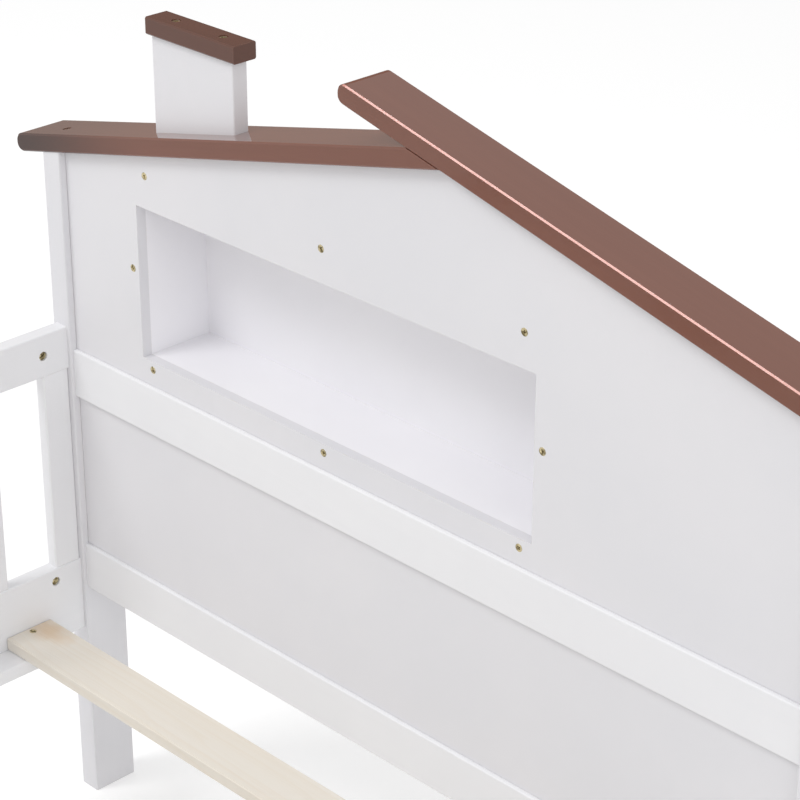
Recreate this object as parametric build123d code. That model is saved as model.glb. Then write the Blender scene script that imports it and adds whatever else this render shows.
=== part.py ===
from build123d import *
import math
import os

# House-shaped platform bed for one child's mattress, in millimetres.
# X runs across the bed, Y from the foot end (-Y) to the headboard (+Y), Z is up.
# While it is built, X = 0 is the middle of the bed, Y = 0 the front of the headboard
# panel and Z = 0 the floor. write() moves the origin to the middle of the bed's base.

# The mattress and the room left round it
mattress_width = 975.0
mattress_length = 1905.0
mattress_room_side = 12.5
mattress_room_end = 14.25

# Posts, and the easing of the timbers' edges
post_width = 28.0
post_depth = 57.0
foot_post_top_above_guard = 16.0
edge_round = 2.0
edge_chamfer = 1.4

# Headboard rails and panels
panel_thickness = 12.0
panel_behind_post_face = 9.0
panel_groove_depth = 6.0
panel_groove_clearance = 0.3
board_rail_height = 57.0
board_rail_proud = 5.0
lower_rail_bottom = 280.4
upper_rail_bottom = 524.2
rail_bolt_above_edge = 38.0

# Roof boards
roof_slope = 13.5
roof_peak_x = 65.0
roof_peak_height = 948.0
roof_board_thickness = 20.0
roof_board_depth = 60.0
roof_reach_past_post = 43.3
roof_overlap_past_peak = 131.3
roof_end_round = 9.0
roof_screw_ahead_of_middle = 4.9

# Display niche behind the headboard panel, its box filling the room under the roof
niche_from_post = 116.7
niche_width = 563.0
niche_floor_above_rail = 29.0
niche_box_below_roof = 5.8
niche_ceiling_above_opening = 26.0
niche_board_depth = 80.0
niche_board_thickness = 20.0
niche_back_thickness = 6.0
niche_screw_inset = 15.7

# Chimney
chimney_from_post = 203.0
chimney_width = 123.0
chimney_thickness = 19.0
chimney_height = 89.6
chimney_cap_offset = 2.5
chimney_cap_overhang_side = 5.0
chimney_cap_overhang_face = 5.1
chimney_cap_height = 18.3
chimney_cap_screw_spacing = 71.4

# Side rails, ledgers and guard fence
rail_thickness = 18.0
side_rail_bottom = 225.5
side_rail_height = 92.5
side_rail_upper_bolt_below_top = 16.0
side_rail_lower_bolt_above_bottom = 11.5
ledger_width = 35.0
ledger_height = 17.0
ledger_end_gap = 44.0
ledger_screw_count = 4
ledger_screw_end_gap = 125.0
guard_top = 609.0
guard_rail_height = 50.5
picket_count = 20
picket_width = 33.5
picket_thickness = 15.0
tenon_thickness = 8.0
tenon_shoulder = 3.25
tenon_length = 12.0
tenon_clearance = 0.1
mortise_end_gap = 0.5

# Slats, centre beam and its leg
slat_count = 8
slat_width = 62.0
slat_thickness = 15.0
slat_end_clearance = 1.0
slat_from_post = 47.0
slat_screw_from_end = 7.0
beam_width = 28.0
beam_height = 57.0
leg_size = 57.0
leg_thickness = 28.0
leg_screw_spacing = 30.0

# Screws, bolts and barrel nuts, drawn with flats in place of full rounds
fastener_sides = 8
screw_head_diameter = 8.4
screw_shank_diameter = 4.0
screw_hole_clearance = 0.25
headboard_screw_length = 35.0
slat_screw_length = 30.0
long_screw_length = 50.0
roof_screw_recess = 1.0
roof_screw_hole_diameter = 9.6
bolt_diameter = 6.0
bolt_hole_clearance = 0.3
bolt_head_diameter = 12.0
bolt_head_height = 4.0
bolt_past_nut = 9.0
nut_diameter = 10.0
nut_length = 14.0
nut_bore_clearance = 0.2
guard_nut_reach = 33.0
side_rail_nut_reach = 36.0
board_rail_nut_reach = 34.0

# Places worked out from the sizes above: posts and bed plan
half_inner = mattress_width / 2 + mattress_room_side
half_outer = half_inner + post_width
post_mid_x = half_inner + post_width / 2
inner_length = mattress_length + 2 * mattress_room_end
post_face = -panel_behind_post_face
post_back = post_face + post_depth
post_mid_y = post_face + post_depth / 2
foot_face = post_face - inner_length
foot_back = foot_face - post_depth
middle_y = (post_face + foot_face) / 2
far = 2 * half_outer

# Roof
slope = math.radians(roof_slope)
roof_rise = roof_board_thickness / math.cos(slope)
roof_front = post_mid_y - roof_board_depth / 2
roof_end_x = half_outer + roof_reach_past_post


def roof_underside(x):
    """Height of the roof boards' underside above the floor at x."""
    return roof_peak_height - abs(x - roof_peak_x) * math.tan(slope)


# Headboard rails
board_rail_front = -board_rail_proud
board_rail_thickness = panel_thickness + 2 * board_rail_proud
board_rail_mid_y = panel_thickness / 2
lower_rail_top = lower_rail_bottom + board_rail_height
upper_rail_top = upper_rail_bottom + board_rail_height
panel_in_groove = panel_groove_depth - panel_groove_clearance
panel_half_width = half_inner + panel_in_groove

# Niche
niche_left = -half_inner + niche_from_post
niche_right = niche_left + niche_width
niche_centre_x = (niche_left + niche_right) / 2
niche_box_left = niche_left - niche_board_thickness
niche_box_right = niche_right + niche_board_thickness
niche_floor = upper_rail_top + niche_floor_above_rail
niche_box_bottom = niche_floor - niche_board_thickness
niche_box_top = min(roof_underside(niche_box_left), roof_underside(niche_box_right)) - niche_box_below_roof
niche_ceiling = niche_box_top - niche_board_thickness
niche_opening_top = niche_ceiling - niche_ceiling_above_opening
niche_back = panel_thickness + niche_board_depth

# Chimney
chimney_x = -half_inner + chimney_from_post
chimney_top = roof_underside(chimney_x) + roof_rise + chimney_height
chimney_cap_x = chimney_x + chimney_cap_offset

# Rails, fence and base
rail_outer_x = post_mid_x + rail_thickness / 2
rail_inner_x = post_mid_x - rail_thickness / 2
side_rail_top = side_rail_bottom + side_rail_height
guard_rail_bottom = guard_top - guard_rail_height
guard_rail_mid_z = guard_top - guard_rail_height / 2
foot_post_top = guard_top + foot_post_top_above_guard
picket_pitch = (inner_length - picket_width) / (picket_count - 1)
picket_centres = [post_face - picket_width / 2 - picket_pitch * i for i in range(picket_count)]

ledger_top = side_rail_bottom + ledger_height
ledger_mid_z = side_rail_bottom + ledger_height / 2
ledger_inner_x = rail_inner_x - ledger_width
ledger_ends = (foot_face + ledger_end_gap, post_face - ledger_end_gap)
slat_top = ledger_top + slat_thickness
slat_half_length = rail_inner_x - slat_end_clearance
slat_screw_x = slat_half_length - slat_screw_from_end
slat_pitch = (inner_length - 2 * slat_from_post - slat_width) / (slat_count - 1)
slat_centres = [post_face - slat_from_post - slat_width / 2 - slat_pitch * i for i in range(slat_count)]
beam_bottom = ledger_top - beam_height
beam_mid_z = ledger_top - beam_height / 2

origin_y = (foot_back + niche_back + niche_back_thickness) / 2

# Directions in which fasteners point, each turning -Z onto the axis in its name
TO_BACK = Rot(90, 0, 0)
TO_FRONT = Rot(-90, 0, 0)
TO_RIGHT = Rot(0, -90, 0)
TO_LEFT = Rot(0, 90, 0)


def block(x, y, z):
    """A square-edged block between the two values of each of x, y and z."""
    return Pos(x[0], y[0], z[0]) * Box(x[1] - x[0], y[1] - y[0], z[1] - z[0], align=(Align.MIN,) * 3)


def plank(x, y, z, along):
    """A block whose four edges along one axis are rounded over, as the main timbers have them."""
    shape = block(x, y, z)
    return fillet(shape.edges().filter_by(along), edge_round)


def batten(x, y, z, along):
    """A block whose four edges along one axis are chamfered, as the lesser timbers have them."""
    shape = block(x, y, z)
    return chamfer(shape.edges().filter_by(along), edge_chamfer)


def at_foot(shape):
    """The foot end's copy of a head-end shape, mirrored about the bed's middle."""
    return mirror(shape, about=Plane.XZ.offset(-middle_y))


def on_right(shape):
    """The right side's copy of a left-side shape, mirrored about X = 0."""
    return mirror(shape, about=Plane.YZ)


def all_corners(shapes):
    """Left head-end shapes and their copies at the other three corners."""
    left = shapes + [at_foot(shape) for shape in shapes]
    return left + [on_right(shape) for shape in left]


def rod(radius, low, high):
    """A many-sided rod along Z between two heights, its flats at this radius."""
    flats = RegularPolygon(radius, fastener_sides, major_radius=False)
    return Pos(0, 0, low) * extrude(flats, amount=high - low)


def sunk_head(top_radius, foot_radius, top):
    """A countersunk head's many-sided taper, its sides at 45 degrees, down from a height."""
    flats = Pos(0, 0, top) * RegularPolygon(top_radius, fastener_sides, major_radius=False)
    return extrude(flats, amount=foot_radius - top_radius, taper=45)


def wood_screw(length):
    """A countersunk wood screw pointing down, its head's top at the origin."""
    head = screw_head_diameter / 2
    shank = screw_shank_diameter / 2
    return sunk_head(head, shank, 0) + rod(shank, -length, shank - head)


def screw_way(depth):
    """The clearance hole for a wood screw: a countersink and a bore, open at the top."""
    head = screw_head_diameter / 2
    bore = screw_shank_diameter / 2 + screw_hole_clearance
    return sunk_head(head, bore, 0) + rod(bore, -depth, bore - head)


def sunk_screw_way(depth):
    """A wood screw's hole whose countersink starts at the bottom of a wider recess."""
    recess = rod(roof_screw_hole_diameter / 2, -roof_screw_recess, 0)
    return recess + Pos(0, 0, -roof_screw_recess) * screw_way(depth - roof_screw_recess)


def sunk_screw():
    """A roof or cap screw, its head at the bottom of the recess."""
    return Pos(0, 0, -roof_screw_recess) * wood_screw(headboard_screw_length)


def bolt(length):
    """A connector bolt pointing down, the underside of its flat head at the origin."""
    return rod(bolt_head_diameter / 2, 0, bolt_head_height) + rod(bolt_diameter / 2, -length, 0)


def bolt_way(length):
    """The clearance hole for a bolt: a seat for its head above the origin and a bore below."""
    seat = rod(bolt_head_diameter / 2 + bolt_hole_clearance, 0, bolt_head_height)
    return seat + rod(bolt_diameter / 2 + bolt_hole_clearance, -length, 0)


def barrel_nut():
    """A barrel nut along Z, its top at the origin and its bolt along X."""
    bolt_space = Rot(0, 90, 0) * rod(bolt_diameter / 2, -nut_diameter, nut_diameter)
    return rod(nut_diameter / 2, -nut_length, 0) - Pos(0, 0, -nut_length / 2) * bolt_space


def nut_way(board_thickness):
    """The bore for a barrel nut, open at the top and deep enough to centre it in a board."""
    return rod(nut_diameter / 2 + nut_bore_clearance, -(board_thickness + nut_length) / 2, 0)


def board_rail_joint(rail_bottom):
    """Bolt, nut and their holes where a headboard rail's left end meets the post."""
    z = rail_bottom + rail_bolt_above_edge
    seat = Pos(-half_outer + bolt_head_height, board_rail_mid_y, z) * TO_RIGHT
    reach = post_width - bolt_head_height + board_rail_nut_reach + bolt_past_nut
    nut_x = -half_inner + board_rail_nut_reach
    nut_bore = Pos(nut_x, board_rail_mid_y + board_rail_thickness / 2, z) * TO_FRONT
    nut = Pos(nut_x, board_rail_mid_y + nut_length / 2, z) * TO_FRONT * barrel_nut()
    holes = seat * bolt_way(reach) + nut_bore * nut_way(board_rail_thickness)
    return seat * bolt(reach), nut, holes


def long_rail_joint(z, nut_reach):
    """Bolt, nut and their holes where a left-hand long rail's head end meets the post."""
    seat = Pos(-post_mid_x, post_back - bolt_head_height, z) * TO_FRONT
    reach = post_depth - bolt_head_height + nut_reach + bolt_past_nut
    nut_y = post_face - nut_reach
    nut_bore = Pos(-rail_inner_x, nut_y, z) * TO_LEFT
    nut = Pos(-post_mid_x + nut_length / 2, nut_y, z) * TO_LEFT * Rot(0, 0, 90) * barrel_nut()
    holes = seat * bolt_way(reach) + nut_bore * nut_way(rail_thickness)
    return seat * bolt(reach), nut, holes


# Joints of the head end's left side. The other three corners have mirror copies.
lower_rail_joint = board_rail_joint(lower_rail_bottom)
upper_rail_joint = board_rail_joint(upper_rail_bottom)
side_rail_joints = [
    long_rail_joint(side_rail_top - side_rail_upper_bolt_below_top, side_rail_nut_reach),
    long_rail_joint(side_rail_bottom + side_rail_lower_bolt_above_bottom, side_rail_nut_reach),
]
guard_joint = long_rail_joint(guard_rail_mid_z, guard_nut_reach)


def roof_screw_place(side):
    """Where a roof board's screw enters, square to its slope over the post on one side."""
    x = side * post_mid_x
    y = post_mid_y - roof_screw_ahead_of_middle
    return Pos(x, y, roof_underside(x) + roof_rise) * Rot(0, side * roof_slope, 0)


# Wood screws, each where it is driven
niche_screw_points = [
    (x, z)
    for z in (niche_floor - niche_board_thickness / 2, niche_ceiling + niche_board_thickness / 2)
    for x in (niche_left + niche_screw_inset, niche_centre_x, niche_right - niche_screw_inset)
] + [
    (x, (niche_box_bottom + niche_box_top) / 2)
    for x in (niche_left - niche_board_thickness / 2, niche_right + niche_board_thickness / 2)
]
niche_screws = [Pos(x, 0, z) * TO_BACK * wood_screw(headboard_screw_length) for x, z in niche_screw_points]
roof_screws = [roof_screw_place(side) * sunk_screw() for side in (-1, 1)]
cap_screw_places = [
    Pos(chimney_cap_x + side * chimney_cap_screw_spacing / 2, post_mid_y, chimney_top + chimney_cap_height)
    for side in (-1, 1)
]
cap_screws = [place * sunk_screw() for place in cap_screw_places]
side_slat_screws = [Pos(-slat_screw_x, y, slat_top) * wood_screw(slat_screw_length) for y in slat_centres]
beam_screw_slats = (slat_centres[0], slat_centres[-1])
beam_slat_screws = [Pos(0, y, slat_top) * wood_screw(slat_screw_length) for y in beam_screw_slats]
ledger_screw_first = ledger_ends[1] - ledger_screw_end_gap
ledger_screw_pitch = (ledger_screw_first - ledger_ends[0] - ledger_screw_end_gap) / (ledger_screw_count - 1)
ledger_screw_places = [
    Pos(-ledger_inner_x, ledger_screw_first - ledger_screw_pitch * i, ledger_mid_z) * TO_LEFT
    for i in range(ledger_screw_count)
]
ledger_screws = [place * wood_screw(long_screw_length) for place in ledger_screw_places]
leg_screw_places = [
    Pos(beam_width / 2 + leg_thickness, middle_y + side * leg_screw_spacing / 2, beam_mid_z) * TO_LEFT
    for side in (-1, 1)
]
leg_screws = [place * wood_screw(long_screw_length) for place in leg_screw_places]


def under_roof(shape):
    """What is left of a shape below the roof boards' underside."""
    outline = Polyline(
        (-far, roof_underside(-far)), (roof_peak_x, roof_peak_height), (far, roof_underside(far)),
        (far, -far), (-far, -far), close=True,
    )
    return shape & extrude(make_face(Plane.XZ * outline), amount=far, both=True)


def panel_groove(low, high):
    """The groove in a left post's inner face that takes a panel's edge between two heights."""
    y = (-panel_groove_clearance, panel_thickness + panel_groove_clearance)
    return block((-half_inner - panel_groove_depth, -half_inner), y, (low, high))


def corner_holes():
    """The holes that every left post has, whichever end of the bed it stands at."""
    joints = [lower_rail_joint, upper_rail_joint] + side_rail_joints
    groove = panel_groove(lower_rail_top - panel_groove_depth, upper_rail_bottom + panel_groove_depth)
    return [joint[2] for joint in joints] + [groove]


def head_post(side):
    """A head post, cut to the roof's slope. Only the left one, at side -1, takes the fence."""
    tall = roof_peak_height
    post = plank((-half_outer, -half_inner), (post_face, post_back), (0, tall), Axis.Z)
    post -= corner_holes()
    post -= panel_groove(upper_rail_top - panel_groove_depth, tall)
    post = post - guard_joint[2] if side < 0 else on_right(post)
    return under_roof(post) - roof_screws


def foot_post(guarded):
    """The left foot post, with the guard rail's bolt hole where the fence meets it."""
    post = batten((-half_outer, -half_inner), (post_face, post_back), (0, foot_post_top), Axis.Z)
    post -= corner_holes()
    return at_foot(post - guard_joint[2] if guarded else post)


def board_rail(shaped, rail_bottom, joint, groove_below, groove_above):
    """A rail between two posts, its edges shaped as a plank or batten, grooved for its panels."""
    y = (board_rail_front, board_rail_front + board_rail_thickness)
    top = rail_bottom + board_rail_height
    rail = shaped((-half_inner, half_inner), y, (rail_bottom, top), Axis.X)
    groove_y = (-panel_groove_clearance, panel_thickness + panel_groove_clearance)
    groove_x = (-half_inner, half_inner)
    if groove_above:
        rail -= block(groove_x, groove_y, (top - panel_groove_depth, top))
    if groove_below:
        rail -= block(groove_x, groove_y, (rail_bottom, rail_bottom + panel_groove_depth))
    return rail - joint[2] - on_right(joint[2])


def lower_panel():
    """The plain panel held in the grooves between the two rails."""
    z = (lower_rail_top - panel_in_groove, upper_rail_bottom + panel_in_groove)
    return block((-panel_half_width, panel_half_width), (0, panel_thickness), z)


def upper_panel():
    """The gable panel, with the niche's opening and the screw holes round it."""
    z = (upper_rail_top - panel_in_groove, roof_peak_height)
    panel = under_roof(block((-panel_half_width, panel_half_width), (0, panel_thickness), z))
    panel -= block((niche_left, niche_right), (0, panel_thickness), (niche_floor, niche_opening_top))
    for screw_x, screw_z in niche_screw_points:
        panel -= Pos(screw_x, 0, screw_z) * TO_BACK * screw_way(panel_thickness)
    return panel


def niche_boards():
    """The four boards of the niche's box and the thin panel that closes its back."""
    y = (panel_thickness, niche_back)
    shelf_z = (niche_box_bottom, niche_floor)
    top_z = (niche_ceiling, niche_box_top)
    box_z = (niche_box_bottom, niche_box_top)
    boards = {
        "niche_shelf": block((niche_left, niche_right), y, shelf_z),
        "niche_top_board": block((niche_left, niche_right), y, top_z),
        "niche_left_side": block((niche_box_left, niche_left), y, box_z),
        "niche_right_side": block((niche_right, niche_box_right), y, box_z),
    }
    boards = {name: board - niche_screws for name, board in boards.items()}
    back_y = (niche_back, niche_back + niche_back_thickness)
    boards["niche_back_panel"] = block((niche_box_left, niche_box_right), back_y, box_z)
    return boards


def board_end(x):
    """The lower and upper (x, z) corners of a roof board's end, cut plumb at x."""
    return (x, roof_underside(x)), (x, roof_underside(x) + roof_rise)


def roof_board(left_end, right_end, rounded_ends, square_past_x):
    """A roof board from its two ends' lower and upper (x, z) corners.

    Its ends in rounded_ends, 0 for the left and -1 for the right, are rounded, and the
    edges of its front and back are chamfered as far as square_past_x.
    """
    outline = Polyline(left_end[0], right_end[0], right_end[1], left_end[1], close=True)
    board = extrude(make_face(Plane.XZ.offset(-roof_front) * outline), amount=-roof_board_depth)
    corners = board.edges().filter_by(Axis.Y).sort_by(Axis.X)
    halves = {0: corners[:2], -1: corners[2:]}
    board = fillet([corner for end in rounded_ends for corner in halves[end]], roof_end_round)
    faces = board.faces().sort_by(Axis.Y)
    edges = faces[0].edges() + faces[-1].edges()
    return chamfer([edge for edge in edges if edge.center().X < square_past_x], edge_chamfer)


def roof_board_right():
    """The board that runs past the peak, over the end of the other one."""
    upper_x = roof_peak_x - roof_overlap_past_peak
    upper_z = roof_peak_height + roof_overlap_past_peak * math.tan(slope)
    upper = ((upper_x, upper_z), (upper_x, upper_z + roof_rise))
    board = roof_board(upper, board_end(roof_end_x), (0, -1), far)
    return board - roof_screw_place(1) * sunk_screw_way(roof_rise)


def roof_board_left():
    """The board that carries the chimney, cut to the other board's underside."""
    cut_x = roof_peak_x - roof_rise / (2 * math.tan(slope))
    upper = ((roof_peak_x, roof_peak_height), (cut_x, roof_peak_height + roof_rise / 2))
    board = roof_board(board_end(-roof_end_x), upper, (0,), cut_x - roof_board_thickness)
    return board - roof_screw_place(-1) * sunk_screw_way(roof_rise)


def chimney_block():
    """The chimney, its foot cut to the roof board it stands on."""
    x = (chimney_x - chimney_width / 2, chimney_x + chimney_width / 2)
    y = (post_mid_y - chimney_thickness / 2, post_mid_y + chimney_thickness / 2)
    stack = plank(x, y, (roof_underside(x[0]), chimney_top), Axis.Z)
    roof_top = Polyline(
        (-far, roof_underside(-far) + roof_rise), (roof_peak_x, roof_peak_height + roof_rise),
        (roof_peak_x, 0), (-far, 0), close=True,
    )
    stack -= extrude(make_face(Plane.XZ * roof_top), amount=far, both=True)
    return stack - cap_screws


def chimney_cap():
    """The cap, overhanging the chimney all round, with its two sunk screw holes."""
    half_x = chimney_width / 2 + chimney_cap_overhang_side
    half_y = chimney_thickness / 2 + chimney_cap_overhang_face
    x = (chimney_cap_x - half_x, chimney_cap_x + half_x)
    y = (post_mid_y - half_y, post_mid_y + half_y)
    cap = batten(x, y, (chimney_top, chimney_top + chimney_cap_height), Axis.X)
    return cap - [place * sunk_screw_way(chimney_cap_height) for place in cap_screw_places]


def picket(centre):
    """One upright of the fence, with a stub tenon at each end."""
    x = (-post_mid_x - picket_thickness / 2, -post_mid_x + picket_thickness / 2)
    y = (centre - picket_width / 2, centre + picket_width / 2)
    body = batten(x, y, (side_rail_top, guard_rail_bottom), Axis.Z)
    tenon_x = (-post_mid_x - tenon_thickness / 2, -post_mid_x + tenon_thickness / 2)
    tenon_y = (y[0] + tenon_shoulder, y[1] - tenon_shoulder)
    return body + block(tenon_x, tenon_y, (side_rail_top - tenon_length, guard_rail_bottom + tenon_length))


def mortise(centre):
    """The space that a picket's two tenons need in the rails."""
    half_x = tenon_thickness / 2 + tenon_clearance
    half_y = picket_width / 2 - tenon_shoulder + tenon_clearance
    deep = tenon_length + mortise_end_gap
    z = (side_rail_top - deep, guard_rail_bottom + deep)
    return block((-post_mid_x - half_x, -post_mid_x + half_x), (centre - half_y, centre + half_y), z)


def long_rail(shaped, z, joints):
    """A left-hand rail between head and foot post, with the same joints at both ends."""
    rail = shaped((-rail_outer_x, -rail_inner_x), (foot_face, post_face), z, Axis.Y)
    holes = [joint[2] for joint in joints]
    return rail - holes - [at_foot(hole) for hole in holes]


def side_rail(guarded):
    """The left side rail, mortised along its top where it carries the fence."""
    shaped = plank if guarded else batten
    rail = long_rail(shaped, (side_rail_bottom, side_rail_top), side_rail_joints) - ledger_screws
    return rail - [mortise(centre) for centre in picket_centres] if guarded else rail


def guard_top_rail():
    """The fence's top rail, mortised along its underside."""
    rail = long_rail(plank, (guard_rail_bottom, guard_top), [guard_joint])
    return rail - [mortise(centre) for centre in picket_centres]


def ledger():
    """The strip under the slats' left ends, screwed to the side rail from inside."""
    strip = batten((-rail_inner_x, -ledger_inner_x), ledger_ends, (side_rail_bottom, ledger_top), Axis.Y)
    strip -= [place * screw_way(ledger_width) for place in ledger_screw_places]
    return strip - side_slat_screws


def slat(centre):
    """One pine slat, screwed down at both ends, and the end ones to the centre beam too."""
    y = (centre - slat_width / 2, centre + slat_width / 2)
    shape = batten((-slat_half_length, slat_half_length), y, (ledger_top, slat_top), Axis.X)
    ends = (-slat_screw_x, slat_screw_x)
    places = ends + (0,) if centre in beam_screw_slats else ends
    return shape - [Pos(x, centre, slat_top) * screw_way(slat_thickness) for x in places]


def centre_beam():
    """The beam on edge under the slats' middles."""
    y = (slat_centres[-1] - slat_width / 2, slat_centres[0] + slat_width / 2)
    beam = batten((-beam_width / 2, beam_width / 2), y, (beam_bottom, ledger_top), Axis.Y)
    return beam - beam_slat_screws - leg_screws


def centre_leg():
    """The leg that stands under the beam, notched to lap one side of it."""
    x = (-beam_width / 2, beam_width / 2 + leg_thickness)
    y = (middle_y - leg_size / 2, middle_y + leg_size / 2)
    leg = batten(x, y, (0, ledger_top), Axis.Z)
    leg -= block((-beam_width, beam_width / 2), y, (beam_bottom, ledger_top))
    return leg - [place * screw_way(leg_thickness) for place in leg_screw_places]


def write(name, shape):
    """Save one piece in the bed's own frame, its origin at the middle of the base."""
    export_step(Pos(0, -origin_y, 0) * shape, f"parts/{name}.step")


def write_head_end():
    """Save the headboard with its niche, roof and chimney."""
    write("head_post_left", head_post(-1))
    write("head_post_right", head_post(1))
    write("head_lower_rail", board_rail(plank, lower_rail_bottom, lower_rail_joint, False, True))
    write("head_upper_rail", board_rail(plank, upper_rail_bottom, upper_rail_joint, True, True))
    write("headboard_lower_panel", lower_panel())
    write("headboard_upper_panel", upper_panel())
    for name, board in niche_boards().items():
        write(name, board)
    write("roof_board_left", roof_board_left())
    write("roof_board_right", roof_board_right())
    write("chimney_block", chimney_block())
    write("chimney_cap", chimney_cap())


def write_sides_and_base():
    """Save the side rails, the fence, the slats and what carries them."""
    write("side_rail_left", side_rail(True))
    write("side_rail_right", on_right(side_rail(False)))
    write("ledger_left", ledger())
    write("ledger_right", on_right(ledger()))
    write("guard_top_rail", guard_top_rail())
    for number, centre in enumerate(picket_centres, 1):
        write(f"guard_picket_{number:02d}", picket(centre))
    for number, centre in enumerate(slat_centres, 1):
        write(f"slat_{number}", slat(centre))
    write("centre_beam", centre_beam())
    write("centre_leg", centre_leg())


def write_foot_end():
    """Save the foot end, a low copy of the headboard's frame."""
    write("foot_post_left", foot_post(True))
    write("foot_post_right", on_right(foot_post(False)))
    write("foot_lower_rail", at_foot(board_rail(batten, lower_rail_bottom, lower_rail_joint, False, True)))
    write("foot_upper_rail", at_foot(board_rail(batten, upper_rail_bottom, upper_rail_joint, True, False)))
    write("foot_panel", at_foot(lower_panel()))


def write_fasteners():
    """Save the bolts, nuts and screws, each kind in one file."""
    board_joints = [lower_rail_joint, upper_rail_joint]
    guard_bolts = [guard_joint[0], at_foot(guard_joint[0])]
    guard_nuts = [guard_joint[1], at_foot(guard_joint[1])]
    corner_nuts = all_corners([joint[1] for joint in side_rail_joints + board_joints])
    side_screws = side_slat_screws + ledger_screws
    right_screws = [on_right(screw) for screw in side_screws]
    write("side_rail_bolts", Compound(all_corners([joint[0] for joint in side_rail_joints]) + guard_bolts))
    write("board_rail_bolts", Compound(all_corners([joint[0] for joint in board_joints])))
    write("barrel_nuts", Compound(corner_nuts + guard_nuts))
    write("headboard_screws", Compound(niche_screws + roof_screws + cap_screws))
    write("frame_screws", Compound(side_screws + right_screws + beam_slat_screws + leg_screws))


def main():
    """Build every piece and save it."""
    os.makedirs("parts", exist_ok=True)
    write_head_end()
    write_sides_and_base()
    write_foot_end()
    write_fasteners()


main()
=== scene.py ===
"""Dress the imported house-shaped bed: its paints, bare pine and fasteners, in a plain studio."""

import logging
import math
import random
from dataclasses import dataclass
from enum import Enum

import bmesh
import bpy
import numpy as np
from mathutils import Matrix, Vector


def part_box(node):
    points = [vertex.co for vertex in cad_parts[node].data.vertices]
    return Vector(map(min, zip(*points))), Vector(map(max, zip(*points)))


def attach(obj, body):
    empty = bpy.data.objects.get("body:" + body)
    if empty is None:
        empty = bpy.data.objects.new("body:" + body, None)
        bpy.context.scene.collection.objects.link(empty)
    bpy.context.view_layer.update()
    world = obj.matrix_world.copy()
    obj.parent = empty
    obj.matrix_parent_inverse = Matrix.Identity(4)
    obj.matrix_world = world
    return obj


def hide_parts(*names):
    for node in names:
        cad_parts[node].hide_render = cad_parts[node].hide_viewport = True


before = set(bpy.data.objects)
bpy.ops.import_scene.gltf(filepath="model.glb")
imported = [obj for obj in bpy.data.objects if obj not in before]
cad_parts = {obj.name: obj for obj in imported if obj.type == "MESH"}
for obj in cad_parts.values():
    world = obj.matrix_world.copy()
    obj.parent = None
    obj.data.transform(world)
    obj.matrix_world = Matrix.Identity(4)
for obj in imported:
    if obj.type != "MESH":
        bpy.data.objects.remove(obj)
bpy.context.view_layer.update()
LOG = logging.getLogger("house_bed")

Colour = tuple[float, float, float, float]
Point = tuple[float, float, float]
MM = 0.001
END_DEPTH = 0.0002
HEAD_STEP = 0.0004
BODY = "root"
WHITE: Colour = (1.0, 1.0, 1.0, 1.0)


def colour(red: float, green: float, blue: float) -> Colour:
    """Turn a screen colour into the linear colour that a shader takes.

    Args:
        red: Red, from 0 to 255.
        green: Green, from 0 to 255.
        blue: Blue, from 0 to 255.

    Returns:
        The linear red, green and blue, and full opacity.
    """
    linear = [
        part / 12.92 if part <= 0.04045 else ((part + 0.055) / 1.055) ** 2.4
        for part in (red / 255, green / 255, blue / 255)
    ]
    return (linear[0], linear[1], linear[2], 1.0)


class Grain(Enum):
    """The axis that a piece of timber's grain runs along."""

    ACROSS_BED = 0
    ALONG_BED = 1
    UPRIGHT = 2

    def turn(self) -> Point:
        """Find the turn that brings this axis onto the grain group's own X.

        Returns:
            The Euler angles in radians.
        """
        quarter = math.pi / 2
        return {
            Grain.ACROSS_BED: (0.0, 0.0, 0.0),
            Grain.ALONG_BED: (0.0, 0.0, -quarter),
            Grain.UPRIGHT: (0.0, quarter, 0.0),
        }[self]


class Recess(Enum):
    """The driving recess in a fastener's head."""

    CROSS = "cross"
    HEXAGON = "hexagon"


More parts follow.
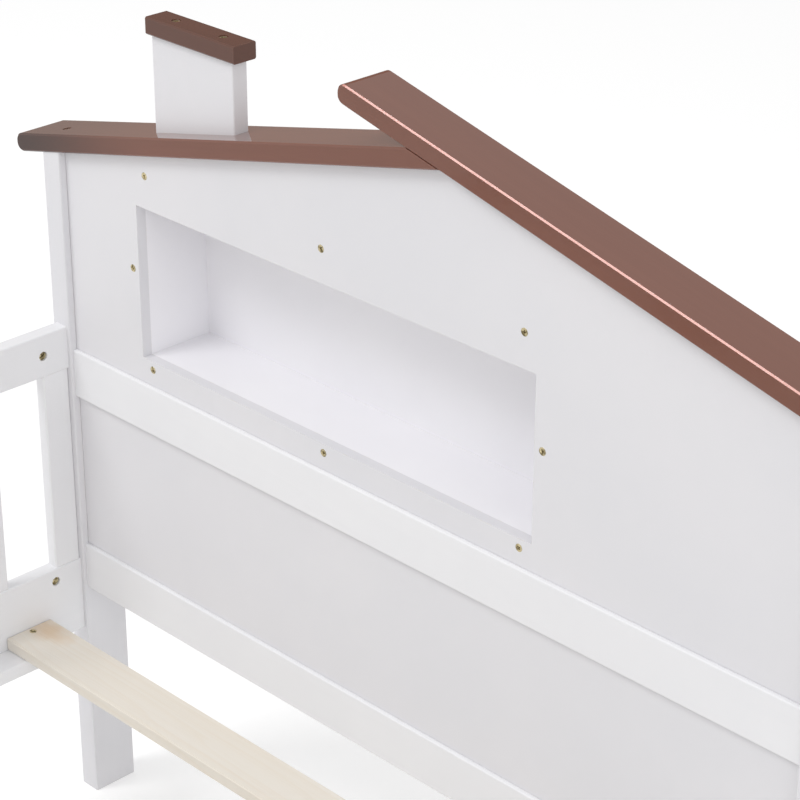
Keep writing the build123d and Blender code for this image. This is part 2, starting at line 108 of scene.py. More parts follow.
class Graph:
    """A node tree that is filled one node at a time."""

    def __init__(self, tree: bpy.types.NodeTree) -> None:
        """Start on a tree.

        Args:
            tree: The material's, world's or group's node tree.
        """
        self.tree = tree

    def node(self, kind: str, inputs: dict[str | int, object] | None = None,
             **settings: object) -> bpy.types.Node:
        """Add a node, set it and feed its sockets.

        Args:
            kind: The node's type name.
            inputs: For each socket, its value or the output socket that feeds it.
            settings: The node's own properties.

        Returns:
            The new node.
        """
        made = self.tree.nodes.new(kind)
        for name, value in settings.items():
            setattr(made, name, value)
        for socket, value in (inputs or {}).items():
            if isinstance(value, bpy.types.NodeSocket):
                self.tree.links.new(value, made.inputs[socket])
            else:
                made.inputs[socket].default_value = value
        return made

    def math(self, operation: str, *values: object) -> bpy.types.NodeSocket:
        """Add a Math node.

        Args:
            operation: The Math node's operation.
            values: Its values, or the sockets that feed them.

        Returns:
            The node's output.
        """
        return self.node("ShaderNodeMath", dict(enumerate(values)), operation=operation).outputs[0]

    def noise(self, vector: bpy.types.NodeSocket, scale: object, detail: float = 2.0,
              rough: float = 0.5) -> bpy.types.NodeSocket:
        """Add a Noise Texture.

        Args:
            vector: The place in the material.
            scale: How many waves there are to a metre, or the socket that says so.
            detail: The number of finer octaves.
            rough: How strong those octaves are.

        Returns:
            The noise's value.
        """
        inputs = {"Vector": vector, "Scale": scale, "Detail": detail, "Roughness": rough}
        return self.node("ShaderNodeTexNoise", inputs).outputs["Fac"]

    def span(self, value: object, low: float, high: float, to_low: float = 0.0,
             to_high: float = 1.0) -> bpy.types.NodeSocket:
        """Add a smooth Map Range node.

        Args:
            value: The value or socket to map.
            low: The value that becomes to_low.
            high: The value that becomes to_high.
            to_low: The result at low.
            to_high: The result at high.

        Returns:
            The mapped value.
        """
        inputs = {"Value": value, "From Min": low, "From Max": high, "To Min": to_low, "To Max": to_high}
        return self.node("ShaderNodeMapRange", inputs, interpolation_type="SMOOTHSTEP").outputs["Result"]

    def vector(self, operation: str, first: object, second: object = (0.0, 0.0, 0.0)) -> bpy.types.Node:
        """Add a Vector Math node.

        Args:
            operation: The node's operation.
            first: The first vector, or its socket.
            second: The second vector, or its socket, where the operation has one.

        Returns:
            The node, with its Vector and Value outputs.
        """
        return self.node("ShaderNodeVectorMath", {0: first, 1: second}, operation=operation)

    def stretched(self, place: bpy.types.NodeSocket, scale: Point) -> bpy.types.NodeSocket:
        """Scale a place along each axis.

        Args:
            place: The place in the material.
            scale: The factor along X, Y and Z.

        Returns:
            The scaled place.
        """
        return self.node("ShaderNodeMapping", {"Vector": place, "Scale": scale}).outputs[0]

    def share_of(self, value: object, share: object) -> bpy.types.NodeSocket:
        """Multiply a value by a share.

        Args:
            value: The value or its socket.
            share: The share or its socket.

        Returns:
            The product.
        """
        return self.math("MULTIPLY", value, share)

    def mix(self, share: object, first: object, second: object) -> bpy.types.NodeSocket:
        """Mix two colours.

        Args:
            share: The second colour's share.
            first: The first colour, or its socket.
            second: The second colour, or its socket.

        Returns:
            The mixed colour.
        """
        made = self.node("ShaderNodeMix", data_type="RGBA")
        for index, value in ((0, share), (6, first), (7, second)):
            if isinstance(value, bpy.types.NodeSocket):
                self.tree.links.new(value, made.inputs[index])
            else:
                made.inputs[index].default_value = value
        return made.outputs[2]


class EffectGroup:
    """A shader node group, made once and placed in many materials."""

    name = "effect"
    inputs: dict[str, tuple[str, float]] = {}
    outputs: dict[str, str] = {}

    def __init__(self) -> None:
        """Make the group's sockets and fill it."""
        self.tree = bpy.data.node_groups.new(self.name, "ShaderNodeTree")
        for label, (kind, value) in self.inputs.items():
            socket = self.tree.interface.new_socket(label, in_out="INPUT", socket_type=kind)
            if kind == "NodeSocketFloat":
                socket.default_value = value
        for label, kind in self.outputs.items():
            self.tree.interface.new_socket(label, in_out="OUTPUT", socket_type=kind)
        graph = Graph(self.tree)
        source = graph.node("NodeGroupInput")
        self.fill(graph, source, graph.node("NodeGroupOutput"))

    def fill(self, graph: Graph, source: bpy.types.Node, target: bpy.types.Node) -> None:
        """Add the nodes between the group's inputs and outputs.

        Args:
            graph: The group's graph.
            source: The node with the group's inputs.
            target: The node that takes the group's outputs.
        """
        raise NotImplementedError

    def place(self, graph: Graph, **values: object) -> bpy.types.Node:
        """Put the group in a material.

        Args:
            graph: The material's graph.
            values: The inputs' values or sockets, with _ for each space in a name.

        Returns:
            The group's node there.
        """
        inputs = {label.replace("_", " "): value for label, value in values.items()}
        return graph.node("ShaderNodeGroup", inputs, node_tree=self.tree)


class SprayedPaint(EffectGroup):
    """The orange peel and the cloudy tone of a sprayed paint film."""

    name = "sprayed_paint"
    inputs = {"Place": ("NodeSocketVector", 0.0), "Peel Scale": ("NodeSocketFloat", 420.0)}
    outputs = {"Peel": "NodeSocketFloat", "Cloud": "NodeSocketFloat"}

    def fill(self, graph: Graph, source: bpy.types.Node, target: bpy.types.Node) -> None:
        """Add the noise of the film at two sizes.

        Args:
            graph: The group's graph.
            source: The node with the group's inputs.
            target: The node that takes the group's outputs.
        """
        place = source.outputs["Place"]
        peel = graph.noise(place, source.outputs["Peel Scale"], 1.5, 0.4)
        cloud = graph.span(graph.noise(place, 5.0, 3.0, 0.55), 0.32, 0.68)
        graph.tree.links.new(peel, target.inputs["Peel"])
        graph.tree.links.new(cloud, target.inputs["Cloud"])


class WoodGrain(EffectGroup):
    """The growth rings and fine fibres of timber whose grain runs along the place's X."""

    name = "wood_grain"
    inputs = {"Place": ("NodeSocketVector", 0.0), "Ring Scale": ("NodeSocketFloat", 60.0),
              "Waviness": ("NodeSocketFloat", 1.0)}
    outputs = {"Ring": "NodeSocketFloat", "Fibre": "NodeSocketFloat", "Figure": "NodeSocketFloat"}

    def fill(self, graph: Graph, source: bpy.types.Node, target: bpy.types.Node) -> None:
        """Add rings bent by slow noise, and fibres drawn out along the grain.

        Args:
            graph: The group's graph.
            source: The node with the group's inputs.
            target: The node that takes the group's outputs.
        """
        place = source.outputs["Place"]
        drawn = graph.stretched(place, (0.55, 6.0, 6.0))
        bend = graph.share_of(graph.noise(drawn, 1.6, 3.0, 0.55), source.outputs["Waviness"])
        parts = graph.node("ShaderNodeSeparateXYZ", {"Vector": place})
        side = graph.math("ADD", parts.outputs["Y"], graph.share_of(parts.outputs["Z"], 0.35))
        spaced = graph.share_of(side, source.outputs["Ring Scale"])
        wave = graph.math("FRACT", graph.math("ADD", spaced, graph.share_of(bend, 9.0)))
        ring = graph.share_of(graph.math("POWER", wave, 2.2), graph.span(wave, 0.9, 1.0, 1.0, 0.0))
        thin = graph.stretched(place, (6.0, 420.0, 420.0))
        fibre = graph.span(graph.noise(thin, 1.0, 4.0, 0.62), 0.30, 0.72)
        broad = graph.stretched(place, (1.6, 22.0, 22.0))
        figure = graph.span(graph.noise(broad, 1.0, 3.0, 0.5), 0.28, 0.72)
        graph.tree.links.new(ring, target.inputs["Ring"])
        graph.tree.links.new(fibre, target.inputs["Fibre"])
        graph.tree.links.new(figure, target.inputs["Figure"])


class WornEdge(EffectGroup):
    """A broken mask along a piece's edges, where paint thins and hands rub."""

    name = "worn_edge"
    inputs = {"Place": ("NodeSocketVector", 0.0), "Reach": ("NodeSocketFloat", 0.0015),
              "Break Scale": ("NodeSocketFloat", 90.0)}
    outputs = {"Edge": "NodeSocketFloat", "Worn": "NodeSocketFloat"}

    def fill(self, graph: Graph, source: bpy.types.Node, target: bpy.types.Node) -> None:
        """Compare the rounded and the true normal, and break the result up.

        Args:
            graph: The group's graph.
            source: The node with the group's inputs.
            target: The node that takes the group's outputs.
        """
        soft = graph.node("ShaderNodeBevel", {"Radius": source.outputs["Reach"]}, samples=6).outputs[0]
        true = graph.node("ShaderNodeNewGeometry").outputs["Normal"]
        same = graph.vector("DOT_PRODUCT", soft, true).outputs["Value"]
        edge = graph.span(same, 0.995, 0.86)
        broken = graph.noise(source.outputs["Place"], source.outputs["Break Scale"], 3.0, 0.6)
        edge_wear_and_highlight = graph.share_of(edge, graph.span(broken, 0.50, 0.66))
        graph.tree.links.new(edge, target.inputs["Edge"])
        graph.tree.links.new(edge_wear_and_highlight, target.inputs["Worn"])


@dataclass(frozen=True)
class Groups:
    """The effects that several finishes share."""

    paint: SprayedPaint
    grain: WoodGrain
    edge: WornEdge


@dataclass(frozen=True)
class Canvas:
    """A material that a finish is filling."""

    material: bpy.types.Material
    graph: Graph
    where: bpy.types.NodeSocket
    place: bpy.types.NodeSocket
    shader: bpy.types.Node

    def finish(self, base: bpy.types.NodeSocket, rough: bpy.types.NodeSocket,
               height: bpy.types.NodeSocket, depth: float, strength: float) -> bpy.types.Material:
        """Feed the shader its colour, its roughness and its fine relief.

        Args:
            base: The colour's socket.
            rough: The roughness's socket.
            height: The relief's socket.
            depth: The relief's depth in metres.
            strength: The bump's strength.

        Returns:
            The finished material.
        """
        relief = {"Height": height, "Distance": depth, "Strength": strength}
        bump = self.graph.node("ShaderNodeBump", relief)
        self.graph.tree.links.new(base, self.shader.inputs["Base Color"])
        self.graph.tree.links.new(rough, self.shader.inputs["Roughness"])
        self.graph.tree.links.new(bump.outputs[0], self.shader.inputs["Normal"])
        return self.material


@dataclass(frozen=True)
class Finish:
    """What every finish of the bed has: a name, a gloss and how it is begun."""

    name: str
    roughness: float
    groups: Groups

    def begin(self, turn: Point, shift: Point) -> Canvas:
        """Make the material, its shader and the place that its textures read.

        Args:
            turn: The turn that lays the grain along X.
            shift: How far the textures are moved, so that pieces differ.

        Returns:
            The canvas that the finish fills.
        """
        made = bpy.data.materials.new(self.name)
        made.use_nodes = True
        made.node_tree.nodes.clear()
        graph = Graph(made.node_tree)
        where = graph.node("ShaderNodeTexCoord").outputs["Object"]
        aim = {"Vector": where, "Rotation": turn}
        turned = graph.node("ShaderNodeVectorRotate", aim, rotation_type="EULER_XYZ")
        place = graph.vector("ADD", turned.outputs[0], shift).outputs[0]
        shader = graph.node("ShaderNodeBsdfPrincipled")
        graph.node("ShaderNodeOutputMaterial", {"Surface": shader.outputs[0]})
        return Canvas(made, graph, where, place, shader)


@dataclass(frozen=True)
class WhitePaint(Finish):
    """Satin white paint, faintly cool, with the timber's grain just showing through it."""

    base: Colour
    shade: Colour
    thin: Colour
    specular: float = 0.35

    def material(self, grain: Grain, grain_shows: float,
                 shift: Point = (0.0, 0.0, 0.0)) -> bpy.types.Material:
        """Build the paint for one direction of grain.

        Args:
            grain: The timber's direction.
            grain_shows: How much of it telegraphs through, 0 for smooth board.
            shift: How far the textures are moved.

        Returns:
            The material.
        """
        canvas = self.begin(grain.turn(), shift)
        graph, place = canvas.graph, canvas.place
        film = self.groups.paint.place(graph, Place=place)
        wood = self.groups.grain.place(graph, Place=place, Ring_Scale=70.0, Waviness=1.0)
        edge = self.groups.edge.place(graph, Place=place, Reach=0.0016)
        tone = graph.mix(graph.share_of(film.outputs["Cloud"], 0.5), self.base, self.shade)
        toned = graph.mix(graph.share_of(wood.outputs["Ring"], 0.35 * grain_shows), tone, self.shade)
        edge_wear_and_highlight = graph.mix(graph.share_of(edge.outputs["Worn"], 0.5), toned, self.thin)
        rough = graph.math("ADD", self.roughness, graph.share_of(film.outputs["Cloud"], 0.06))
        lift = graph.share_of(wood.outputs["Fibre"], grain_shows)
        height = graph.math("ADD", graph.share_of(film.outputs["Peel"], 0.45), lift)
        canvas.shader.inputs["Specular IOR Level"].default_value = self.specular
        return canvas.finish(edge_wear_and_highlight, rough, height, 0.00006, 0.5)


@dataclass(frozen=True)
class BrownPaint(Finish):
    """Semi-gloss brown paint, a little thinner and warmer along the edges, with an optional painted
    highlight along one edge.
    """

    base: Colour
    deep: Colour
    thin: Colour
    # A darker brown, laid on more strongly towards a point at a board's end.
    end_darkening: Colour = colour(62, 45, 40)
    # Pale pink painted highlight, standing in for the key lamp's glint along a rounded edge.
    wear_and_highlight_colour: Colour = colour(214, 152, 140)
    coat_roughness: float = 0.04
    coat_ior: float = 1.6
    specular: float = 0.36

    def material(self, turn: Point, shift: Point = (0.0, 0.0, 0.0),
                 end_darkening: tuple[Point, float] | None = None, coat: float = 0.0,
                 highlight_facing: Point | None = None) -> bpy.types.Material:
        """Build the paint for one board.

        Args:
            turn: The turn that lays the board's length along X.
            shift: How far the textures are moved.
            end_darkening: The middle of a board end that the paint darkens towards, and its reach.
            coat: How much of a glossy second coat the faces that look up have.
            highlight_facing: The way that the edge with a painted highlight faces.

        Returns:
            The material.
        """
        canvas = self.begin(turn, shift)
        graph, place, shader = canvas.graph, canvas.place, canvas.shader
        film = self.groups.paint.place(graph, Place=place, Peel_Scale=520.0)
        wood = self.groups.grain.place(graph, Place=place, Ring_Scale=90.0, Waviness=1.0)
        edge = self.groups.edge.place(graph, Place=place, Reach=0.0022)
        tone = graph.mix(graph.share_of(wood.outputs["Figure"], 0.45), self.base, self.deep)
        fibred = graph.mix(graph.share_of(wood.outputs["Fibre"], 0.18), tone, self.deep)
        # Darker towards the given point at the board's end.
        if end_darkening is not None:
            middle, reach = end_darkening
            away = graph.vector("DISTANCE", canvas.where, middle).outputs["Value"]
            fibred = graph.mix(graph.span(away, reach, 0.0, 0.0, 0.95), fibred, self.end_darkening)
        edge_wear_and_highlight = graph.mix(graph.share_of(edge.outputs["Edge"], 0.35), fibred, self.thin)
        normal = graph.node("ShaderNodeNewGeometry").outputs["Normal"]
        # Painted highlight: faces that point this way take a pale pink colour in place of a lamp's glint.
        if highlight_facing is not None:
            facing = graph.vector("DOT_PRODUCT", normal, Vector(highlight_facing).normalized()).outputs["Value"]
            edge_wear_and_highlight = graph.mix(graph.span(facing, 0.93, 0.98), edge_wear_and_highlight, self.wear_and_highlight_colour)
        if coat > 0.0:
            upward = graph.node("ShaderNodeSeparateXYZ", {"Vector": normal}).outputs["Z"]
            graph.tree.links.new(graph.span(upward, 0.85, 0.95, 0.0, coat), shader.inputs["Coat Weight"])
            shader.inputs["Coat Roughness"].default_value = self.coat_roughness
            shader.inputs["Coat IOR"].default_value = self.coat_ior
        rough = graph.math("ADD", self.roughness, graph.share_of(film.outputs["Cloud"], 0.05))
        lift = graph.share_of(wood.outputs["Fibre"], 0.7)
        height = graph.math("ADD", graph.share_of(film.outputs["Peel"], 0.4), lift)
        shader.inputs["Specular IOR Level"].default_value = self.specular
        return canvas.finish(edge_wear_and_highlight, rough, height, 0.00003, 0.5)


@dataclass(frozen=True)
class BarePine(Finish):
    """Planed pine with no finish: cream early wood, tan late wood and a knot's warm halo."""

    early: Colour
    late: Colour
    halo: Colour
    specular: float = 0.25
    knot_stretch: Point = (0.7, 1.25, 1.0)

    def material(self, grain: Grain, shift: Point,
                 knots: tuple[tuple[Point, float], ...] = ()) -> bpy.types.Material:
        """Build the pine of one piece.

        Args:
            grain: The timber's direction.
            shift: How far the textures are moved, so that no two pieces match.
            knots: The middle of each tinted patch, in metres, and its reach.

        Returns:
            The material.
        """
        canvas = self.begin(grain.turn(), shift)
        graph, where = canvas.graph, canvas.where
        wood = self.groups.grain.place(graph, Place=canvas.place, Ring_Scale=75.0, Waviness=1.4)
        tone = graph.mix(graph.share_of(wood.outputs["Ring"], 0.20), self.early, self.late)
        figured = graph.mix(graph.share_of(wood.outputs["Figure"], 0.18), tone, self.late)
        fibred = graph.mix(graph.share_of(wood.outputs["Fibre"], 0.12), figured, self.late)
        for middle, reach in knots:
            offset = graph.vector("SUBTRACT", where, middle).outputs[0]
            flat = graph.vector("MULTIPLY", offset, self.knot_stretch).outputs[0]
            away = graph.vector("LENGTH", flat).outputs["Value"]
            ragged = graph.math("ADD", away, graph.share_of(graph.noise(where, 45.0, 2.0), reach * 0.8))
            tint = graph.span(ragged, reach * 1.5, reach * 0.5, 0.0, 0.65)
            fibred = graph.mix(tint, fibred, self.halo)
        rough = graph.math("ADD", self.roughness, graph.share_of(wood.outputs["Fibre"], 0.12))
        height = graph.math("ADD", wood.outputs["Fibre"], graph.share_of(wood.outputs["Ring"], 0.5))
        canvas.shader.inputs["Specular IOR Level"].default_value = self.specular
        return canvas.finish(fibred, rough, height, 0.00012, 0.6)


@dataclass(frozen=True)
class ZincPlate(Finish):
    """Yellow zinc plating, greenish gold with darker, duller patches."""

    bright: Colour
    dull: Colour

    def material(self) -> bpy.types.Material:
        """Build the plating.

        Returns:
            The material.
        """
        canvas = self.begin((0.0, 0.0, 0.0), (0.0, 0.0, 0.0))
        graph, place = canvas.graph, canvas.place
        film = self.groups.paint.place(graph, Place=place, Peel_Scale=900.0)
        edge = self.groups.edge.place(graph, Place=place, Reach=0.0005, Break_Scale=600.0)
        patches = graph.span(graph.noise(place, 260.0, 2.0), 0.4, 0.62)
        tone = graph.mix(patches, self.bright, self.dull)
        wear_and_highlight_colour = graph.mix(graph.share_of(edge.outputs["Edge"], 0.4), tone, self.bright)
        rough = graph.math("ADD", self.roughness, graph.share_of(patches, 0.12))
        canvas.shader.inputs["Metallic"].default_value = 1.0
        return canvas.finish(wear_and_highlight_colour, rough, film.outputs["Peel"], 0.00004, 0.4)


@dataclass
class Studio:
    """The pale floor, the soft lamps, the flag that glossy faces mirror, and the camera."""

    floor_reach: float = 60.0
    floor_lift: float = 0.17
    sky_strength: float = 0.77
    key_aim: Point = (-0.1, 0.9, 0.6)
    key_direction: Point = (-0.27, -0.52, 0.81)
    key_distance: float = 5.0
    key_size: float = 1.7
    key_power: float = 74.0
    fill_direction: Point = (0.85, -0.30, 0.43)
    fill_distance: float = 6.0
    fill_size: float = 3.0
    fill_power: float = 46.0
    flag_tone: Colour = (0.345, 0.255, 0.225, 1.0)
    flag_foot: Point = (-3.2, 3.4, 0.0)
    flag_size: tuple[float, float] = (7.0, 3.4)
    focal_length: float = 112.974
    camera_place: Point = (1.53171, -0.54520, 1.74862)
    camera_right: Point = (0.69957, 0.71456, 0.00202)
    camera_up: Point = (-0.31682, 0.30763, 0.89721)
    camera_back: Point = (0.64049, -0.62830, 0.44160)

    def seen(self, graph: Graph) -> bpy.types.NodeSocket:
        """Tell the rays that see a surface from those that light one.

        Args:
            graph: The material's or the world's graph.

        Returns:
            A mask that is 1 for the camera's, mirrors' and glass's rays.
        """
        path = graph.node("ShaderNodeLightPath").outputs
        either = graph.math("MAXIMUM", path["Is Camera Ray"], path["Is Glossy Ray"])
        return graph.math("MAXIMUM", either, path["Is Transmission Ray"])

    def make_world(self) -> None:
        """White where it is seen, and a plain soft sky for the light."""
        world = bpy.data.worlds.new("studio_sky")
        bpy.context.scene.world = world
        world.use_nodes = True
        world.node_tree.nodes.clear()
        graph = Graph(world.node_tree)
        backdrop = graph.node("ShaderNodeBackground", {"Color": WHITE, "Strength": 1.0})
        sky = graph.node("ShaderNodeBackground", {"Color": WHITE, "Strength": self.sky_strength})
        shaders = {0: self.seen(graph), 1: sky.outputs[0], 2: backdrop.outputs[0]}
        both = graph.node("ShaderNodeMixShader", shaders)
        graph.node("ShaderNodeOutputWorld", {"Surface": both.outputs[0]})

    def make_floor(self) -> None:
        """A matt white floor that keeps the bed's shadow."""
        mesh = bpy.data.meshes.new("studio_floor")
        reach = self.floor_reach
        corners = [(-reach, -reach, 0.0), (reach, -reach, 0.0), (reach, reach, 0.0), (-reach, reach, 0.0)]
        mesh.from_pydata(corners, [], [(0, 1, 2, 3)])
        floor = bpy.data.objects.new("studio_floor", mesh)
        bpy.context.scene.collection.objects.link(floor)
        made = bpy.data.materials.new("studio_floor")
        made.use_nodes = True
        made.node_tree.nodes.clear()
        graph = Graph(made.node_tree)
        lift = graph.share_of(self.seen(graph), self.floor_lift)
        shader = graph.node("ShaderNodeBsdfPrincipled", {
            "Base Color": (0.93, 0.93, 0.93, 1.0), "Roughness": 1.0, "Specular IOR Level": 0.0,
            "Emission Color": WHITE, "Emission Strength": lift,
        })
        graph.node("ShaderNodeOutputMaterial", {"Surface": shader.outputs[0]})
        mesh.materials.append(made)

    def make_flag(self) -> None:
        """A tall grey board behind the bed's left side, which only glossy surfaces mirror."""
        foot = Vector(self.flag_foot)
        wide, tall = self.flag_size
        across = foot.cross(Vector((0.0, 0.0, 1.0))).normalized() * wide / 2
        up = Vector((0.0, 0.0, tall))
        mesh = bpy.data.meshes.new("studio_flag")
        corners = [foot - across, foot + across, foot + across + up, foot - across + up]
        mesh.from_pydata(corners, [], [(0, 1, 2, 3)])
        flag = bpy.data.objects.new("studio_flag", mesh)
        bpy.context.scene.collection.objects.link(flag)
        made = bpy.data.materials.new("studio_flag")
        made.use_nodes = True
        made.node_tree.nodes.clear()
        graph = Graph(made.node_tree)
        shader = graph.node("ShaderNodeEmission", {"Color": self.flag_tone, "Strength": 1.0})
        graph.node("ShaderNodeOutputMaterial", {"Surface": shader.outputs[0]})
        mesh.materials.append(made)
        flag.visible_camera = False
        flag.visible_diffuse = False
        flag.visible_shadow = False

    def make_lamp(self, name: str, place: Vector, target: Vector, size: float, power: float) -> None:
        """Add one soft square lamp.

        Args:
            name: The lamp's name.
            place: Where it hangs.
            target: The point that it faces.
            size: The side of its square.
            power: Its power in watts.
        """
        data = bpy.data.lights.new(name, "AREA")
        data.shape = "SQUARE"
        data.size = size
        data.energy = power
        lamp = bpy.data.objects.new(name, data)
        lamp.location = place
        lamp.rotation_mode = "QUATERNION"
        lamp.rotation_quaternion = (target - place).to_track_quat("-Z", "Y")
        bpy.context.scene.collection.objects.link(lamp)

    def make_camera(self) -> None:
        """Set the camera where the photograph was taken from."""
        data = bpy.data.cameras.new("photograph_view")
        data.lens = self.focal_length
        data.sensor_width = 36.0
        data.clip_start = 0.05
        data.clip_end = 200.0
        camera = bpy.data.objects.new("photograph_view", data)
        axes = Matrix((self.camera_right, self.camera_up, self.camera_back)).transposed()
        camera.matrix_world = Matrix.Translation(self.camera_place) @ axes.to_4x4()
        bpy.context.scene.collection.objects.link(camera)
        bpy.context.scene.camera = camera

    def build(self) -> None:
        """Make the whole studio."""
        bpy.context.scene.view_settings.view_transform = "Standard"
        self.make_camera()
        self.make_world()
        self.make_floor()
        self.make_flag()
        aim = Vector(self.key_aim)
        key = aim + Vector(self.key_direction).normalized() * self.key_distance
        fill = aim + Vector(self.fill_direction).normalized() * self.fill_distance
        self.make_lamp("key_lamp", key, aim, self.key_size, self.key_power)
        self.make_lamp("fill_lamp", fill, aim, self.fill_size, self.fill_power)
        LOG.info("studio ready")


@dataclass(frozen=True)
class Paintbox:
    """Every finish that the bed's pieces take."""

    timber: WhitePaint
    board: WhitePaint
    niche_lit_white: WhitePaint
    brown: BrownPaint
    dark_brown: BrownPaint
    pine: BarePine
    zinc: ZincPlate


def make_paintbox() -> Paintbox:
    """Mix the bed's finishes.

    Returns:
        The finishes, sharing one set of effects.
    """
    groups = Groups(SprayedPaint(), WoodGrain(), WornEdge())
    return Paintbox(
        timber=WhitePaint("white_paint", 0.42, groups,
                          base=colour(238, 238, 240), shade=colour(232, 232, 235),
                          thin=colour(226, 218, 206)),
        board=WhitePaint("white_board_paint", 0.46, groups,
                         base=colour(227, 226, 229), shade=colour(221, 221, 225),
                         thin=colour(222, 216, 206)),
        # Painted light: a brighter copy of the white paint, standing in for more light inside the niche
        # than the lamps bring.
        niche_lit_white=WhitePaint("white_niche_painted_light", 0.40, groups,
                         base=colour(246, 245, 248), shade=colour(241, 240, 244),
                         thin=colour(232, 228, 220)),
        brown=BrownPaint("brown_paint", 0.10, groups,
                         base=colour(124, 80, 65), deep=colour(109, 69, 56), thin=colour(158, 114, 102)),
        dark_brown=BrownPaint("dark_brown_paint", 0.18, groups,
                              base=colour(96, 62, 50), deep=colour(82, 52, 42), thin=colour(128, 92, 80)),
        pine=BarePine("bare_pine", 0.62, groups,
                      early=colour(231, 226, 217), late=colour(222, 206, 182), halo=colour(220, 190, 154)),
        zinc=ZincPlate("yellow_zinc", 0.30, groups,
                       bright=colour(206, 193, 154), dull=colour(126, 115, 84)),
    )


def dress(node: str, material: bpy.types.Material) -> None:
    """Give a CAD node its finish.

    Args:
        node: The CAD node's name.
        material: What every face of it gets.
    """
    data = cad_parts[node].data
    data.materials.clear()
    data.materials.append(material)
    LOG.info("%s in %s", node, material.name)


@dataclass
class Headboard:
    """The head posts, the two rails and the two panels between them."""

    paints: Paintbox
    rail_grain: float = 0.5
    board_grain: float = 0.0

    def build(self) -> None:
        """Dress the posts, rails and panels."""
        for number, post in enumerate(("head_post_left", "head_post_right")):
            shift = (0.3 * number, 0.4, 0.1)
            dress(post, self.paints.board.material(Grain.UPRIGHT, self.rail_grain, shift))
        for number, rail in enumerate(("head_lower_rail", "head_upper_rail")):
            shift = (0.2, 0.5 * number, 0.3)
            dress(rail, self.paints.timber.material(Grain.ACROSS_BED, self.rail_grain, shift))
        board = self.paints.board.material(Grain.ACROSS_BED, self.board_grain)
        dress("headboard_lower_panel", board)
        dress("headboard_upper_panel", board)


@dataclass
class Niche:
    """The display box behind the headboard's opening."""

    paints: Paintbox
    grain: float = 0.12

    def build(self) -> None:
        """Dress the four boards and the back in the brighter white, which paints light into the niche."""
        level = self.paints.niche_lit_white.material(Grain.ACROSS_BED, self.grain)
        upright = self.paints.niche_lit_white.material(Grain.UPRIGHT, self.grain)
        for board in ("niche_shelf", "niche_top_board", "niche_back_panel"):
            dress(board, level)
        for board in ("niche_left_side", "niche_right_side"):
            dress(board, upright)


@dataclass
class RoofAndChimney:
    """The two brown roof boards and the white chimney with its brown cap."""

    paints: Paintbox
    slope_degrees: float = 13.5
    end_height: float = 0.01
    end_darkening_reach: float = 0.24
    left_coat: float = 1.0

    def build(self) -> None:
        """Dress the boards, the chimney and its cap."""
        slope = math.radians(self.slope_degrees)
        low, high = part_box("roof_board_left")
        end = (low.x, low.y, low.z + self.end_height)
        brown = self.paints.brown
        left = brown.material((0.0, slope, 0.0), end_darkening=(end, self.end_darkening_reach), coat=self.left_coat)
        dress("roof_board_left", left)
        # The right board's front-top edge faces this way and gets a painted highlight along its length.
        corner = (math.sin(slope), -1.0, math.cos(slope))
        right = brown.material((0.0, -slope, 0.0), (0.3, 0.1, 0.2), highlight_facing=corner)
        dress("roof_board_right", right)
        dress("chimney_cap", self.paints.dark_brown.material((0.0, 0.0, 0.0), (0.1, 0.5, 0.7)))
        dress("chimney_block", self.paints.board.material(Grain.UPRIGHT, 0.1, (0.6, 0.1, 0.5)))


@dataclass
class SidesAndFence:
    """The side rails with their ledgers, and the fence on the left one."""

    paints: Paintbox
    picket_count: int = 20
    grain: float = 0.5

    def build(self) -> None:
        """Dress the rails, the ledgers and each picket."""
        rails = ("side_rail_left", "side_rail_right", "ledger_left", "ledger_right", "guard_top_rail")
        for number, rail in enumerate(rails):
            dress(rail, self.paints.timber.material(Grain.ALONG_BED, self.grain, (0.0, 0.3 * number, 0.2)))
        picket = self.paints.timber.material(Grain.UPRIGHT, self.grain, (0.1, 0.0, 0.6))
        for number in range(1, self.picket_count + 1):
            dress(f"guard_picket_{number:02d}", picket)


@dataclass
class SlatBase:
    """The pine slats, the beam under their middles and its leg."""

    paints: Paintbox
    slat_count: int = 8
    knot_in_slat: int = 1
    knot_inset: float = 0.018
    knot_reach: float = 0.030
    slat_step: Point = (0.37, 0.21, 0.0)

    def knots(self, number: int) -> tuple[tuple[Point, float], ...]:
        """The knots that show in one slat.

        Args:
            number: The slat's number, from the head end.

        Returns:
            Each knot's middle and reach.
        """
        if number != self.knot_in_slat:
            return ()
        low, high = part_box(f"slat_{number}")
        return (((low.x + self.knot_inset, high.y - self.knot_inset, high.z), self.knot_reach),)

    def build(self) -> None:
        """Give each slat a stretch of grain of its own, and dress the beam and leg."""
        for number in range(1, self.slat_count + 1):
            shift = tuple(step * number for step in self.slat_step)
            dress(f"slat_{number}", self.paints.pine.material(Grain.ACROSS_BED, shift, self.knots(number)))
        dress("centre_beam", self.paints.pine.material(Grain.ALONG_BED, (0.2, 0.9, 0.1)))
        dress("centre_leg", self.paints.pine.material(Grain.UPRIGHT, (0.7, 0.4, 0.2)))


@dataclass
class FootEnd:
    """The low frame at the foot of the bed."""

    paints: Paintbox
    rail_grain: float = 0.5

    def build(self) -> None:
        """Dress the posts, the rails and the panel between them."""
        for number, post in enumerate(("foot_post_left", "foot_post_right")):
            shift = (0.5 + 0.3 * number, 0.1, 0.7)
            dress(post, self.paints.board.material(Grain.UPRIGHT, self.rail_grain, shift))
        for number, rail in enumerate(("foot_lower_rail", "foot_upper_rail")):
            shift = (0.8, 0.4 * number, 0.1)
            dress(rail, self.paints.timber.material(Grain.ACROSS_BED, self.rail_grain, shift))
        dress("foot_panel", self.paints.board.material(Grain.ACROSS_BED, 0.0, (0.4, 0.7, 0.2)))


